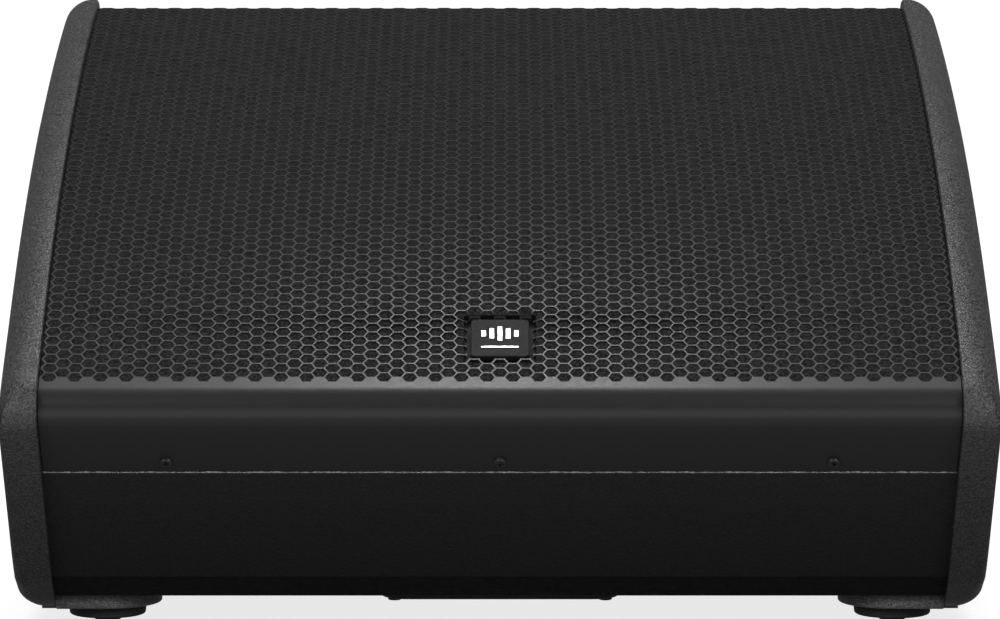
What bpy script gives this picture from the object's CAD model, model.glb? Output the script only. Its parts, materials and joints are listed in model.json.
import json
import math

import bmesh
import bpy
import numpy as np
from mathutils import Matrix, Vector


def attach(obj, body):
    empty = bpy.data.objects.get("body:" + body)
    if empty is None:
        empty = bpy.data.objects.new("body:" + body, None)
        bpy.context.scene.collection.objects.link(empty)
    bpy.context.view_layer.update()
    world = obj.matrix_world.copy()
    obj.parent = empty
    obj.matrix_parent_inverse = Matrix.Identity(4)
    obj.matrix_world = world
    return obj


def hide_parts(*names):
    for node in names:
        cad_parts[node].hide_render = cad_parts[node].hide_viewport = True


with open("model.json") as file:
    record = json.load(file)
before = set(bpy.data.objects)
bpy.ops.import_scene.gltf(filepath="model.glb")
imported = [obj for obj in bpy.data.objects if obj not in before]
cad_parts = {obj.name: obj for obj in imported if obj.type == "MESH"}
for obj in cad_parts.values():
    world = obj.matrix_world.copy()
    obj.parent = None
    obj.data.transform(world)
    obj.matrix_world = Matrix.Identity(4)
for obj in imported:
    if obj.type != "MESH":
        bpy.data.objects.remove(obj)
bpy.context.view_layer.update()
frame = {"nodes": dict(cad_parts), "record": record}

# Stage monitor wedge, metres, +Z up, nose towards -Y.
MM = 0.001
scene = bpy.context.scene
nodes = frame["nodes"]

# ---- the side section, as in the CAD source (millimetres) ---------------------
HALF, CHEEK, PROUD, DROP = 235.0, 20.0, 5.0, 2.5
CHEEK_TOE, CHEEK_HEEL = 34.0, 20.0
BASE_Z = 18.0
SHEET = 1.5
TURN = dict(toe=37.9, brow=8.7, nose=100.9, low=10.1, mid=5.1, high=6.65, top=112.65)
TURN["heel"] = 360.0 - sum(TURN.values())
RADIUS = dict(toe=3.0, brow=6.0, nose=13.0, low=989.0, mid=1307.0, high=1616.0, top=14.0, heel=6.0)
LENGTH = dict(bevel=20.5, panel=86.0, lip=36.8, margin=7.8, flange=16.0)
ORDER = ["base", "toe", "bevel", "brow", "panel", "lip", "nose", "margin", "low", "mid", "high", "top",
         "flange", "rear", "heel"]


def way(a):
    """The unit step along a heading in degrees."""
    return np.array([math.cos(math.radians(a)), math.sin(math.radians(a))])


def advance(p, a, s):
    """Where one step of the section ends, and the heading there."""
    if s[0] == "L":
        return p + way(a) * s[1], a
    c = p + way(a - 90) * s[1]
    return c + way(a - s[2] + 90) * s[1], a - s[2]


def steps(off=0.0, drop=0.0, toe=RADIUS["toe"], heel=RADIUS["heel"]):
    """The section's steps pushed out by off, with the rear and base lengths that close it."""
    r = dict(RADIUS, toe=toe, heel=heel)
    out = []
    for n in ORDER:
        if n in TURN:
            out.append(["A", r[n] + off, TURN[n]])
        else:
            out.append(["L", LENGTH.get(n, 0.0)])
    named = dict(zip(ORDER, out))
    named["bevel"][1] += drop / math.sin(math.radians(TURN["toe"]))
    named["bevel"][1] -= (toe - RADIUS["toe"]) * math.tan(math.radians(TURN["toe"] / 2))
    p, a = np.zeros(2), 180.0
    for s in out:
        p, a = advance(p, a, s)
    down = math.radians(180.0 + TURN["heel"])
    rear = -p[1] / math.sin(down)
    named["rear"][1] = rear
    named["base"][1] = p[0] + rear * math.cos(down)
    return out


def laid(off=0.0, **kw):
    """[(name, start, heading, step)] with the end of the margin, on the sheet's outside, at zero."""
    seq = steps(off, **kw)
    p, a = np.zeros(2), 180.0
    for s in seq[:ORDER.index("low")]:
        p, a = advance(p, a, s)
    p, a = way(a + 90) * off - p, 180.0
    out = []
    for n, s in zip(ORDER, seq):
        out.append((n, p, a, s))
        p, a = advance(p, a, s)
    return out


def along(seg, t):
    """Points and outward normals at shares t of one step."""
    _, p, a, s = seg
    t = np.asarray(t, float)
    if s[0] == "L":
        pts = p + np.outer(t, way(a) * s[1])
        nrm = np.tile(way(a + 90), (len(t), 1))
        return pts, nrm
    c = p + way(a - 90) * s[1]
    ang = np.radians(a + 90 - s[2] * t)
    nrm = np.stack([np.cos(ang), np.sin(ang)], 1)
    return c + nrm * s[1], nrm


def step_length(s):
    return s[1] if s[0] == "L" else s[1] * math.radians(s[2])


flat = laid()
cheek_line = laid(PROUD, drop=DROP, toe=CHEEK_TOE, heel=CHEEK_HEEL)
# what moves the section to its place: centred along Y, its base line at BASE_Z
probe = np.concatenate([along(s, np.linspace(0, 1, 200))[0] for s in cheek_line])
SHIFT = np.array([-(probe[:, 0].min() + probe[:, 0].max()) / 2, BASE_Z - flat[0][1][1]])


def surface(s):
    """Section points and normals at signed distances s up the sheet from the lowest web line."""
    s = np.asarray(s, float)
    names = ORDER[ORDER.index("lip"):ORDER.index("rear")]
    segs = [x for x in flat if x[0] in names]
    lens = [step_length(step) for _, _, _, step in segs]
    start = -sum(lens[:names.index("low")])
    pts, nrm = np.zeros((len(s), 2)), np.zeros((len(s), 2))
    for i, (seg, ln) in enumerate(zip(segs, lens)):
        lo = -1e9 if i == 0 else start
        hi = 1e9 if i == len(segs) - 1 else start + ln
        m = (s >= lo) & (s < hi)
        if m.any():
            pts[m], nrm[m] = along(seg, (s[m] - start) / ln)
        start += ln
    return pts + SHIFT, nrm


FOLD = -LENGTH["margin"] - RADIUS["nose"] * math.radians(TURN["nose"])
LIP_END = FOLD - LENGTH["lip"]
BEND = sum(RADIUS[n] * math.radians(TURN[n]) for n in ("low", "mid", "high"))
HEM = BEND + RADIUS["top"] * math.radians(TURN["top"])
HEM_END = HEM + LENGTH["flange"]


# ---- mesh helpers ---------------------------------------------------------------
def new_object(name, verts, faces, sharp):
    """A new finished object from points in metres and faces."""
    me = bpy.data.meshes.new(name)
    me.from_pydata([tuple(v) for v in verts], [], [tuple(int(i) for i in f) for f in faces])
    me.update()
    ob = bpy.data.objects.new(name, me)
    scene.collection.objects.link(ob)
    finish_mesh(ob, sharp)
    return ob


def shade(bm, sharp):
    """Smooth faces, with open edges and edges past the sharp angle in degrees kept hard."""
    for e in bm.edges:
        e.smooth = len(e.link_faces) == 2 and e.calc_face_angle(0.0) <= math.radians(sharp)
    for f in bm.faces:
        f.smooth = True


def finish_mesh(ob, sharp):
    """Joins what touches, turns every face outwards and shades the mesh."""
    bm = bmesh.new()
    bm.from_mesh(ob.data)
    bmesh.ops.remove_doubles(bm, verts=bm.verts, dist=2e-6)
    bmesh.ops.dissolve_degenerate(bm, edges=bm.edges, dist=1e-7)
    bmesh.ops.recalc_face_normals(bm, faces=bm.faces)
    shade(bm, sharp)
    bm.to_mesh(ob.data)
    bm.free()
    ob.data.update()


def to_world(x, sec):
    """(x, section y, section z) in millimetres to metres."""
    return np.column_stack([x, sec[:, 0], sec[:, 1]]) * MM


# ---- materials --------------------------------------------------------------------
class Mat:
    """A Principled material with a small node tree in object space."""

    def __init__(self, name, colour, rough, spec=0.5, metal=0.0):
        self.material = bpy.data.materials.new(name)
        self.material.use_nodes = True
        self.tree = self.material.node_tree
        self.shader = self.tree.nodes["Principled BSDF"]
        self.shader.inputs["Base Color"].default_value = (*colour, 1)
        self.shader.inputs["Roughness"].default_value = rough
        self.shader.inputs["Metallic"].default_value = metal
        self.shader.inputs["Specular IOR Level"].default_value = spec
        self.coords = self.tree.nodes.new("ShaderNodeTexCoord").outputs["Object"]
        self.height = None

    def stretch(self, scale):
        """The coordinates, scaled along each axis."""
        n = self.tree.nodes.new("ShaderNodeMapping")
        n.inputs["Scale"].default_value = scale
        self.tree.links.new(self.coords, n.inputs["Vector"])
        return n.outputs["Vector"]

    def noise(self, scale, detail=3.0, rough=0.5, src=None):
        """Noise of scale grains per metre."""
        n = self.tree.nodes.new("ShaderNodeTexNoise")
        n.inputs["Scale"].default_value = scale
        n.inputs["Detail"].default_value = detail
        n.inputs["Roughness"].default_value = rough
        self.tree.links.new(src or self.coords, n.inputs["Vector"])
        return n.outputs["Fac"]

    def cells(self, scale):
        """Rounded cells, scale of them per metre."""
        n = self.tree.nodes.new("ShaderNodeTexVoronoi")
        n.feature = "SMOOTH_F1"
        n.inputs["Scale"].default_value = scale
        n.inputs["Smoothness"].default_value = 0.6
        self.tree.links.new(self.coords, n.inputs["Vector"])
        return n.outputs["Distance"]

    def remap(self, src, lo, hi, a=0.3, b=0.7):
        """Stretches the a to b part of a source over lo to hi."""
        n = self.tree.nodes.new("ShaderNodeMapRange")
        for k, v in zip(("From Min", "From Max", "To Min", "To Max"), (a, b, lo, hi)):
            n.inputs[k].default_value = v
        self.tree.links.new(src, n.inputs["Value"])
        return n.outputs["Result"]

    def tint(self, src, dark, light):
        """Lets a source run the colour from dark to light."""
        n = self.tree.nodes.new("ShaderNodeMix")
        n.data_type = "RGBA"
        n.inputs["A"].default_value = (*dark, 1)
        n.inputs["B"].default_value = (*light, 1)
        self.tree.links.new(src, n.inputs["Factor"])
        self.tree.links.new(n.outputs["Result"], self.shader.inputs["Base Color"])

    def vary_rough(self, src):
        self.tree.links.new(src, self.shader.inputs["Roughness"])

    def bump(self, src, dist):
        """Adds a source as height in metres, over any bump that is there."""
        n = self.tree.nodes.new("ShaderNodeBump")
        n.inputs["Distance"].default_value = dist
        n.inputs["Strength"].default_value = 1.0
        self.tree.links.new(src, n.inputs["Height"])
        if self.height is not None:
            self.tree.links.new(self.height, n.inputs["Normal"])
        self.height = n.outputs["Normal"]
        self.tree.links.new(self.height, self.shader.inputs["Normal"])


def grey(v):
    return (v, v, v)


def painted(name, v, rough, scale, dist, spec=0.5, spread=0.25):
    """Paint or moulded plastic: fine grain in height and tone, and a slow drift in gloss."""
    m = Mat(name, grey(v), rough, spec)
    fine = m.noise(scale, 3.0, 0.6)
    m.tint(m.remap(fine, 0, 1), grey(v * (1 - spread)), grey(v * (1 + spread)))
    m.vary_rough(m.remap(m.noise(scale * 0.37, 2.0), rough - 0.07, rough + 0.07))
    m.bump(fine, dist)
    return m.material


def pebbled(name, v, rough, grain, dist, spec, lift):
    """Textured cabinet paint: rounded grains whose tips are rubbed lighter."""
    m = Mat(name, grey(v), rough, spec)
    grains = m.noise(grain, 1.5, 0.55)
    m.tint(m.remap(grains, 0, 1, 0.40, 0.68), grey(v * 0.8), grey(v * lift))
    m.vary_rough(m.remap(m.noise(grain * 0.21, 2.0), rough - 0.06, rough + 0.08))
    m.bump(grains, dist)
    m.bump(m.noise(grain * 3.1, 2.0), dist * 0.2)
    return m.material


MATS = {}
MATS["cheek_paint"] = pebbled("cheek_paint", 0.0120, 0.22, 860, 0.0007, 0.65, 3.5)
MATS["foot_plate"] = pebbled("foot_plate", 0.092, 0.40, 900, 0.0008, 0.5, 1.9)
# tone, roughness, grain per metre, grain height in metres, shine, spread of tone
PAINTED = {
    "panel_paint": (0.0155, 0.6, 620, 0.0007, 0.12, 0.22),
    "base_paint": (0.0065, 0.6, 420, 0.0012, 0.12, 0.5),
    "paint_edge": (0.13, 0.5, 500, 0.0001, 0.4, 0.8),
    "grille_steel": (0.0095, 0.38, 2200, 0.00001, 0.45, 0.12),
    "tray_steel": (0.02, 0.4, 1800, 0.00004, 0.5, 0.12),
    "black_plastic": (0.016, 0.45, 1500, 0.00004, 0.4),
    "socket_metal": (0.03, 0.3, 900, 0.00002, 0.6),
    "knob_plastic": (0.02, 0.5, 1600, 0.00005, 0.4),
    "rocker_plastic": (0.018, 0.4, 900, 0.00001, 0.5),
    "heatsink_aluminium": (0.022, 0.42, 2400, 0.00002, 0.6),
    "foot_rubber": (0.028, 0.6, 900, 0.00008, 0.3),
    "surround_rubber": (0.012, 0.6, 900, 0.00005, 0.3),
    "badge_plastic": (0.008, 0.6, 1400, 0.00002, 0.15),
    "cast_basket": (0.03, 0.5, 700, 0.0001),
    "black_fixings": (0.012, 0.4, 1500, 0.00003, 0.5),
    "button_plastic": (0.18, 0.5, 2400, 0.00001, 0.4, 0.06),
    "light_lens": (0.20, 0.4, 2400, 0.000005, 0.4, 0.06),
    "lead_sheath": (0.015, 0.5, 900, 0.00004, 0.3),
    "capacitor_sleeve": (0.04, 0.3, 700, 0.00002, 0.5),
    "ferrite": (0.05, 0.6, 500, 0.0001, 0.4),
    "paper_cone": (0.03, 0.75, 350, 0.0002, 0.2, 0.4),
    "horn_aluminium": (0.04, 0.35, 1500, 0.00002, 0.6),
}
for name, look in PAINTED.items():
    MATS[name] = painted(name, *look)


def foamy():
    """Matt open-cell foam, mottled and pitted."""
    m = Mat("acoustic_foam", grey(0.014), 0.95, 0.1)
    pores = m.cells(700)
    m.tint(m.remap(m.noise(760, 3.0, 0.7), 0, 1, 0.38, 0.62), grey(0.0012), grey(0.0125))
    m.bump(pores, 0.0004)
    m.bump(m.noise(1500, 3.0), 0.0002)
    return m.material


def plain_metal(name, colour, rough, scale=600):
    """Bare metal with a grain drawn out along Y."""
    m = Mat(name, colour, rough, 0.5, 1.0)
    brushed = m.noise(scale, 4.0, 0.6, m.stretch((1, 0.08, 1)))
    m.vary_rough(m.remap(brushed, rough - 0.08, rough + 0.12))
    dark = tuple(c * 0.85 for c in colour)
    m.tint(m.remap(brushed, 0, 1), dark, colour)
    m.bump(brushed, 0.00001)
    return m.material


def cloth(name, dark, light, scale):
    """A matt fibrous or speckled material, from dark to light."""
    m = Mat(name, light, 0.9, 0.1)
    a = m.noise(scale, 5.0, 0.7)
    m.tint(m.remap(a, 0, 1), dark, light)
    m.bump(a, 0.0004)
    return m.material


MATS["acoustic_foam"] = foamy()
MATS["polyester_wadding"] = cloth("polyester_wadding", (0.45, 0.45, 0.44), (0.75, 0.75, 0.72), 260)
MATS["spider_cloth"] = cloth("spider_cloth", (0.35, 0.25, 0.1), (0.55, 0.42, 0.2), 900)
MATS["badge_silver"] = plain_metal("badge_silver", (0.72, 0.72, 0.74), 0.34)
MATS["former_aluminium"] = plain_metal("former_aluminium", (0.7, 0.7, 0.7), 0.35)
MATS["coil_wire"] = plain_metal("coil_wire", (0.72, 0.36, 0.18), 0.35, 1500)
MATS["magnet_steel"] = plain_metal("magnet_steel", (0.42, 0.42, 0.44), 0.4)
MATS["brass_contacts"] = plain_metal("brass_contacts", (0.8, 0.62, 0.3), 0.25)
MATS["zinc_steel"] = plain_metal("zinc_steel", (0.6, 0.6, 0.6), 0.38)
MATS["board_laminate"] = cloth("board_laminate", (0.02, 0.12, 0.04), (0.04, 0.2, 0.07), 220)


def dress(ob, name):
    """Gives an object one material."""
    ob.data.materials.clear()
    ob.data.materials.append(MATS[name])


slot_of = {s["node"]: s["material_slot"] for s in frame["record"]["subparts"]}


# ---- cheeks -------------------------------------------------------------------------
# radius of the outer edge along each step, and of the inner edge, which grows towards the top
ROUND = dict(base=17.5, bevel=10.0, brow=5.5, panel=3.5, lip=3.5, margin=14.0, mid=17.0, high=17.5,
             top=17.5, flange=16.0, rear=14.0)
BREAK, BREAK_GROWTH = 1.0, 1.2
GROWTH_FROM, GROWTH_OVER = 275.0, 38.0


def eased(t):
    return t * t * (3 - 2 * t)


def edge_radius(name, t):
    """The outer edge's radius at shares t of one step, running from one value to the next."""
    runs = {
        "nose": ("lip", "margin", eased(t)),
        "low": ("margin", "mid", np.clip(t * 3, 0, 1)),
        "toe": ("base", "bevel", eased(t)),
        "bevel": ("bevel", "brow", t),
        "panel": ("panel", "brow", np.clip(1 - t * 3, 0, 1) ** 2),
        "heel": ("rear", "base", t),
        "rear": ("flange", "rear", t),
    }
    start, end, share = runs.get(name, (name, name, t))
    return ROUND[start] + (ROUND[end] - ROUND[start]) * share


def cheek(side, name):
    """One end cheek: rings from its inner edge across the rim to its outer face, and both faces."""
    # points along each step of the outline
    count = dict(base=14, toe=20, bevel=12, brow=3, panel=14, lip=7, nose=30, margin=3, low=26, mid=16,
                 high=24, top=30, flange=4, rear=24, heel=16)
    pts, nrm, r = [], [], []
    for seg in cheek_line:
        t = np.arange(count[seg[0]]) / count[seg[0]]
        p, v = along(seg, t)
        pts.append(p)
        nrm.append(v)
        r.append(edge_radius(seg[0], t))
    pts, nrm, r = np.concatenate(pts) + SHIFT, np.concatenate(nrm), np.concatenate(r)
    height = pts[:, 1]
    inner = BREAK + BREAK_GROWTH * np.clip((height - GROWTH_FROM) / GROWTH_OVER, 0, 1)
    rings = []
    for k in range(6):
        angle = math.radians(18 * k)
        rings.append((HALF + inner * (1 - math.cos(angle)), inner * (1 - math.sin(angle))))
    for share in (0.33, 0.66):
        rings.append((HALF + inner + (CHEEK - r - inner) * share, np.zeros(len(r))))
    for k in range(11):
        angle = math.radians(9 * k)
        rings.append((HALF + CHEEK - r * (1 - math.sin(angle)), r * (1 - math.cos(angle))))
    n = len(r)
    verts = [to_world(side * x, pts - nrm * inset[:, None]) for x, inset in rings]
    faces = []
    for i in range(len(rings) - 1):
        for j in range(n):
            faces.append((i * n + j, i * n + (j + 1) % n, (i + 1) * n + (j + 1) % n, (i + 1) * n + j))
    faces.append(tuple(range(n)))
    last = (len(rings) - 1) * n
    faces.append(tuple(range(last + n - 1, last - 1, -1)))
    return new_object(name, np.concatenate(verts), faces, 50)


for side, name in ((-1, "left_cheek"), (1, "right_cheek")):
    ob = cheek(side, name + "_shell")
    dress(ob, "cheek_paint")
    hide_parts(name)
    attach(ob, "cabinet")

# ---- perforated grille ------------------------------------------------------------------
WIDE = HALF - 0.35                  # half the sheet's width, just clear of the cheeks
COLUMNS = 71.57                     # columns of holes from cheek to cheek
PITCH = 2 * HALF / COLUMNS / math.cos(math.radians(30))
COLUMN = PITCH * math.cos(math.radians(30))
CELL = COLUMN / 1.5                 # from a cell's middle to its corners
WEB_OUT, WEB_IN = 0.105, 0.165      # share of a cell that is steel, outside and inside
ROWS = 65
BOTTOM, TOP = -LENGTH["margin"], ROWS * PITCH + 5.0
BADGE_S, BADGE_W, BADGE_H = 33.0, 34.0, 38.5
SCREW_X = (-171.0, 0.0, 171.0)
LIP_SCREW_UP, HEM_SCREW_UP, SCREW_BORE = 8.7, 9.0, 1.9


def hexagon(radius):
    """The corners of a hexagon about zero, one of them on X."""
    a = np.radians(60 * np.arange(6))
    return np.stack([np.cos(a), np.sin(a)], 1) * radius


def perforated():
    """Flat (x, s, depth) web of hexagonal holes, its sides and ends clamped straight."""
    cell = hexagon(CELL)
    mouth = hexagon(CELL * (1 - WEB_OUT))
    throat = hexagon(CELL * (1 - WEB_IN))
    half_columns = math.ceil(COLUMNS / 2)
    verts, faces = [], []

    def add(points, quads):
        base = len(verts)
        verts.extend(points)
        faces.extend([tuple(base + i for i in q) for q in quads])

    for c in range(-half_columns, half_columns + 1):
        even = c % 2 == 0
        for k in range(-2, ROWS + 2):
            cx = c * COLUMN
            cs = (k + (0.5 if even else 0.0)) * PITCH
            solid = k < 0 or k > ROWS - (1 if even else 0)
            if cs - PITCH / 2 >= TOP or cs + PITCH / 2 <= BOTTOM:
                continue
            out = cell + (cx, cs)
            out[:, 0] = np.clip(out[:, 0], -WIDE, WIDE)
            out[:, 1] = np.clip(out[:, 1], BOTTOM, TOP)
            if solid:
                pts = [(x, s, 0.0) for x, s in out] + [(x, s, SHEET) for x, s in out]
                add(pts, [(0, 1, 2, 3, 4, 5), (11, 10, 9, 8, 7, 6)])
                continue
            front, back = mouth + (cx, cs), throat + (cx, cs)
            front[:, 0] = np.clip(front[:, 0], -WIDE, WIDE)
            back[:, 0] = np.clip(back[:, 0], -WIDE, WIDE)
            pts = [(x, s, 0.0) for x, s in out] + [(x, s, 0.0) for x, s in front]
            pts += [(x, s, SHEET) for x, s in back] + [(x, s, SHEET) for x, s in out]
            quads = []
            for i in range(6):
                j = (i + 1) % 6
                for ring in (0, 6, 12):
                    quads.append((ring + i, ring + j, ring + 6 + j, ring + 6 + i))
            add(pts, quads)
    return np.array(verts), faces


def cut_flat(ob, x0, x1, s0, s1):
    """Cuts a rectangle out of the flat web, before it is bent."""
    bm = bmesh.new()
    bm.from_mesh(ob.data)
    bmesh.ops.remove_doubles(bm, verts=bm.verts, dist=1e-3)
    reach = 9.0
    across, up = (1, 0, 0), (0, 1, 0)
    for co, no in (((x0, 0, 0), across), ((x1, 0, 0), across), ((0, s0, 0), up), ((0, s1, 0), up)):
        near = [f for f in bm.faces if x0 - reach < f.calc_center_median().x < x1 + reach
                and s0 - reach < f.calc_center_median().y < s1 + reach]
        geom = near + list({e for f in near for e in f.edges}) + list({v for f in near for v in f.verts})
        bmesh.ops.bisect_plane(bm, geom=geom, plane_co=co, plane_no=no, dist=1e-5)
    inside = [f for f in bm.faces if x0 < f.calc_center_median().x < x1
              and s0 < f.calc_center_median().y < s1]
    bmesh.ops.delete(bm, geom=inside, context="FACES")
    loose = [v for v in bm.verts if not v.link_faces]
    bmesh.ops.delete(bm, geom=loose, context="VERTS")
    bm.to_mesh(ob.data)
    bm.free()


def dish(x, s):
    """How far the sheet is pressed in around the badge."""
    across = np.maximum(np.abs(x) - BADGE_W / 2, 0)
    up = np.maximum(np.abs(s - BADGE_S) - BADGE_H / 2, 0)
    share = np.clip((s - BADGE_S) / BADGE_H + 0.5, 0, 1)
    return (0.1 + 2.1 * share) * (1 - np.clip(np.hypot(across, up) / 5.0, 0, 1)) ** 2


def bent(ob):
    """Maps flat (x, s, depth) millimetres onto the folded sheet."""
    co = np.zeros(len(ob.data.vertices) * 3)
    ob.data.vertices.foreach_get("co", co)
    co = co.reshape(-1, 3)
    p, n = surface(co[:, 1])
    sec = p - n * (co[:, 2] + dish(co[:, 0], co[:, 1]))[:, None]
    ob.data.vertices.foreach_set("co", to_world(co[:, 0], sec).ravel())
    ob.data.update()


def raw(name, verts, faces):
    """A new object straight from its points and faces."""
    me = bpy.data.meshes.new(name)
    me.from_pydata([tuple(v) for v in verts], [], faces)
    ob = bpy.data.objects.new(name, me)
    scene.collection.objects.link(ob)
    return ob


def slab(name, xs, stations, outside, inside, window=None):
    """A stretch of sheet between two depths, closed all round, with an optional (x0, x1, s0, s1) window."""
    nx, ns = len(xs), len(stations)
    verts = [(x, s, d) for d in (outside, inside) for s in stations for x in xs]
    tops = []
    for i in range(ns - 1):
        for j in range(nx - 1):
            x, s = (xs[j] + xs[j + 1]) / 2, (stations[i] + stations[i + 1]) / 2
            if window and window[0] < x < window[1] and window[2] < s < window[3]:
                continue
            a = i * nx + j
            tops.append((a, a + 1, a + nx + 1, a + nx))
    edges = {(f[k], f[(k + 1) % 4]) for f in tops for k in range(4)}
    low = nx * ns
    walls = [(b, a, a + low, b + low) for a, b in sorted(edges) if (b, a) not in edges]
    faces = tops + [tuple(v + low for v in reversed(f)) for f in tops] + walls
    ob = raw(name, verts, faces)
    bent(ob)
    return ob


def bore(ob, places, radius):
    """Round holes through a piece, along the given (centre, direction) pairs in metres."""
    tools = []
    for c, d in places:
        bpy.ops.mesh.primitive_cylinder_add(vertices=40, radius=radius, depth=0.02, location=c)
        t = bpy.context.object
        t.rotation_mode = "QUATERNION"
        t.rotation_quaternion = Vector(d).to_track_quat("Z", "Y")
        tools.append(t)
    bpy.ops.object.select_all(action="DESELECT")
    for t in tools:
        t.select_set(True)
    bpy.context.view_layer.objects.active = tools[0]
    bpy.ops.object.join()
    m = ob.modifiers.new("bore", "BOOLEAN")
    m.operation, m.solver, m.object = "DIFFERENCE", "EXACT", tools[0]
    bpy.context.view_layer.objects.active = ob
    bpy.ops.object.select_all(action="DESELECT")
    ob.select_set(True)
    bpy.ops.object.modifier_apply(modifier="bore")
    bpy.data.objects.remove(tools[0])


def place_on_sheet(x, s):
    """A point on the sheet's outside in metres, and the way out from it."""
    p, n = surface(np.array([s]))
    return Vector((x * MM, p[0][0] * MM, p[0][1] * MM)), Vector((0, n[0][0], n[0][1]))


verts, faces = perforated()
grille = raw("grille_sheet", verts, faces)
window_low = BADGE_S - BADGE_H / 2 + 2.0
cut_flat(grille, -BADGE_W / 2, BADGE_W / 2, window_low, BADGE_S + BADGE_H / 2)
bent(grille)

EDGES = [-WIDE, 0.0, WIDE]
lip_stations = [LIP_END, LIP_END + 20, FOLD] + list(np.linspace(FOLD, -LENGTH["margin"], 33)[1:])
lip = slab("grille_lip", EDGES, lip_stations, 0.0, SHEET)
bore(lip, [place_on_sheet(x, LIP_END + LIP_SCREW_UP) for x in SCREW_X], SCREW_BORE * MM)
hem = slab("grille_hem", EDGES, list(np.linspace(TOP, HEM, 9)) + [HEM_END], 0.0, SHEET)
bore(hem, [place_on_sheet(x, HEM + HEM_SCREW_UP) for x in SCREW_X], SCREW_BORE * MM)
bpy.ops.object.select_all(action="DESELECT")
for o in (grille, lip, hem):
    o.select_set(True)
bpy.context.view_layer.objects.active = grille
bpy.ops.object.join()
finish_mesh(grille, 30)
dress(grille, "grille_steel")
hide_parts("grille")
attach(grille, "cabinet")


# ---- foam, pressed a little way into the holes from behind ----------------------------------
FOAM_FRONT, FOAM_BACK = 0.25, 6.5   # depths below the sheet's outside


def foam_face():
    """The foam behind the grille, up to the cheeks, with its window for the badge."""
    half_w, half_h = BADGE_W / 2 + 1.5, BADGE_H / 2 + 1.5
    window = (-half_w, half_w, BADGE_S - half_h, BADGE_S + half_h)
    xs = [-WIDE, -half_w, half_w, WIDE]
    stations = sorted(list(np.arange(-LENGTH["margin"] + 1, BEND, 6.0)) + [window[2], window[3], BEND])
    ob = slab("foam_sheet", xs, stations, FOAM_FRONT, FOAM_BACK, window)
    finish_mesh(ob, 40)
    return ob


foam = foam_face()
dress(foam, "acoustic_foam")
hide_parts("grille_foam")
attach(foam, "cabinet")


# ---- the ridge of paint along the top of the front panel ------------------------------------
def paint_ridge():
    """A thin uneven bead along the seam, where the panel's coating ends."""
    xs = np.arange(-WIDE, WIDE + 0.1, 1.3)
    waves = ((0.21, 0.4), (0.57, 0.3), (1.13, 0.3), (2.31, 0.25))
    wobble = sum(np.sin(xs * f + f * 7.0) * a for f, a in waves)
    tall = 0.24 + 0.30 * wobble
    _, start, heading, _ = next(seg for seg in flat if seg[0] == "lip")
    foot, up, out = start + SHIFT, way(heading), way(heading + 90)
    # its section: share of its height above the seam, and how far it stands out
    shape = [(-0.35, 0.10), (-0.2, 0.62), (0.0, 0.68), (0.75, 0.45), (1.0, 0.10)]
    verts = []
    for x, t in zip(xs, tall):
        for rise, stand in shape:
            q = foot + up * rise * max(t, 0.05) * 1.4 + out * (stand + 0.12 * (t - 0.28))
            verts.append((x * MM, q[0] * MM, q[1] * MM))
    k = len(shape)
    faces = []
    for i in range(len(xs) - 1):
        for j in range(k):
            a, b = i * k + j, i * k + (j + 1) % k
            faces.append((a, b, b + k, a + k))
    faces += [tuple(range(k)), tuple(range(len(verts) - 1, len(verts) - k - 1, -1))]
    return new_object("seam_ridge", verts, faces, 60)


ridge = paint_ridge()
dress(ridge, "paint_edge")
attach(ridge, "cabinet")

# ---- the CAD nodes that stay ---------------------------------------------------------------
OWN_LOOK = {"foot_plates": "foot_plate", "base_panel": "base_paint"}

for name, ob in nodes.items():
    if ob.hide_render:
        continue
    dress(ob, OWN_LOOK.get(name, slot_of[name]))
    bm = bmesh.new()
    bm.from_mesh(ob.data)
    shade(bm, 32)
    bm.to_mesh(ob.data)
    bm.free()

# ---- floor, light, camera -------------------------------------------------------------------
# A pale floor that only the camera sees, so that it throws no light on the object.
bpy.ops.mesh.primitive_plane_add(size=60, location=(0, 12, 0))
floor = bpy.context.object
floor.name = "studio_floor"
floor_look = bpy.data.materials.new("studio_floor")
floor_look.use_nodes = True
shader = floor_look.node_tree.nodes["Principled BSDF"]
shader.inputs["Base Color"].default_value = (0.1, 0.1, 0.1, 1)
shader.inputs["Emission Color"].default_value = (1, 1, 1, 1)
shader.inputs["Emission Strength"].default_value = 0.8
shader.inputs["Roughness"].default_value = 0.9
shader.inputs["Specular IOR Level"].default_value = 0.1
floor.data.materials.append(floor_look)
floor.visible_diffuse = floor.visible_glossy = False

world = bpy.data.worlds.new("studio")
scene.world = world
world.use_nodes = True
world.node_tree.nodes["Background"].inputs["Color"].default_value = (1, 1, 1, 1)
world.node_tree.nodes["Background"].inputs["Strength"].default_value = 0.12


def softbox(name, loc, aim, w, h, power, shine=True):
    """A rectangular light of w by h metres that the camera doesn't see; shine lets gloss show it."""
    light = bpy.data.lights.new(name, "AREA")
    light.shape, light.size, light.size_y, light.energy = "RECTANGLE", w, h, power
    ob = bpy.data.objects.new(name, light)
    scene.collection.objects.link(ob)
    ob.location = loc
    ob.rotation_mode = "QUATERNION"
    ob.rotation_quaternion = (Vector(aim) - Vector(loc)).to_track_quat("-Z", "Y")
    ob.visible_camera, ob.visible_glossy = False, shine


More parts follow.
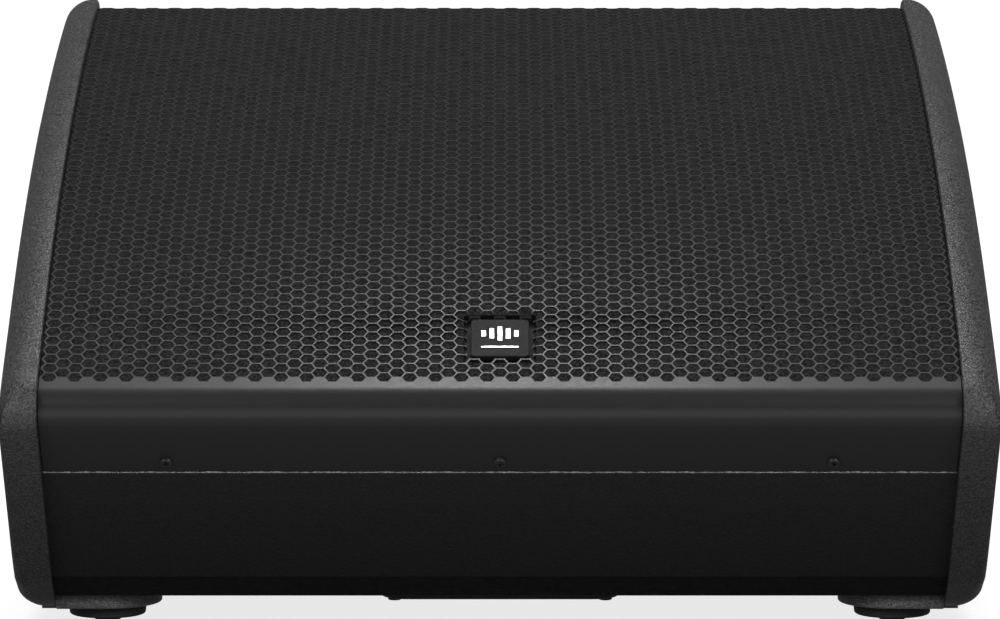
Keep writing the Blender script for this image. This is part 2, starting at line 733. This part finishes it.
# Lights without shine fill in the paint, the small boxes with shine make the highlights, and the two
# low cards in front are what the nose reflects.
sun = bpy.data.lights.new("sky", "SUN")
sun.energy, sun.angle = 8.0, math.radians(50)
sky = bpy.data.objects.new("sky", sun)
scene.collection.objects.link(sky)
sky.rotation_mode = "QUATERNION"
sky.rotation_quaternion = Vector((0, -0.2, -1.0)).to_track_quat("-Z", "Y")
sky.visible_glossy = False
softbox("overhead", (0, 0.116, 1.135), (0, -0.226, 0.145), 0.25, 0.25, 3.0)
softbox("bounce", (0, -0.815, 0.004), (0, -0.815, 1.0), 2.5, 0.87, 6.7)
softbox("bounce_near", (0, -0.3075, 0.004), (0, -0.3075, 1.0), 1.2, 0.145, 0.13)
softbox("back_fill", (0, 2.6, 0.9), (0, 0.2, 0.15), 3.0, 1.0, 70, False)
softbox("front_fill", (0, -2.6, 1.0), (0, 0, 0.1), 3.0, 0.8, 16, False)
for side in (-1, 1):
    softbox("side_%d" % side, (side * 1.0, -1.35, 0.8), (side * 0.25, -0.2, 0.12), 0.5, 0.5, 8)
    softbox("rear_side_%d" % side, (side * 2.2, 1.6, 0.6), (side * 0.25, 0.1, 0.12), 1.2, 0.8, 18, False)
    softbox("over_cheek_%d" % side, (side * 0.38, 0.2, 1.12), (side * 0.25, -0.15, 0.18), 0.08, 0.5, 0.5)

# The camera looks down by pitch. The sheet's lowest web line is depth away along its axis and rise off
# it, in millimetres.
web_y, web_z = surface([0.0])[0][0]
pitch = math.radians(6.0)
depth, rise = 2870.3, -34.55
cam_y = web_y - depth * math.cos(pitch) - rise * math.sin(pitch)
cam_z = web_z + depth * math.sin(pitch) - rise * math.cos(pitch)
cam = bpy.data.cameras.new("camera")
cam.lens, cam.sensor_width, cam.sensor_fit = 202.788, 36.0, "HORIZONTAL"
cam.clip_start, cam.clip_end = 0.1, 100.0
cam.dof.use_dof = False
camera = bpy.data.objects.new("camera", cam)
scene.collection.objects.link(camera)
camera.location = (0.0, cam_y * MM, cam_z * MM)
camera.rotation_euler = (math.radians(90.0) - pitch, 0, 0)
scene.camera = camera
scene.view_settings.view_transform = "Standard"
scene.view_settings.look = "None"
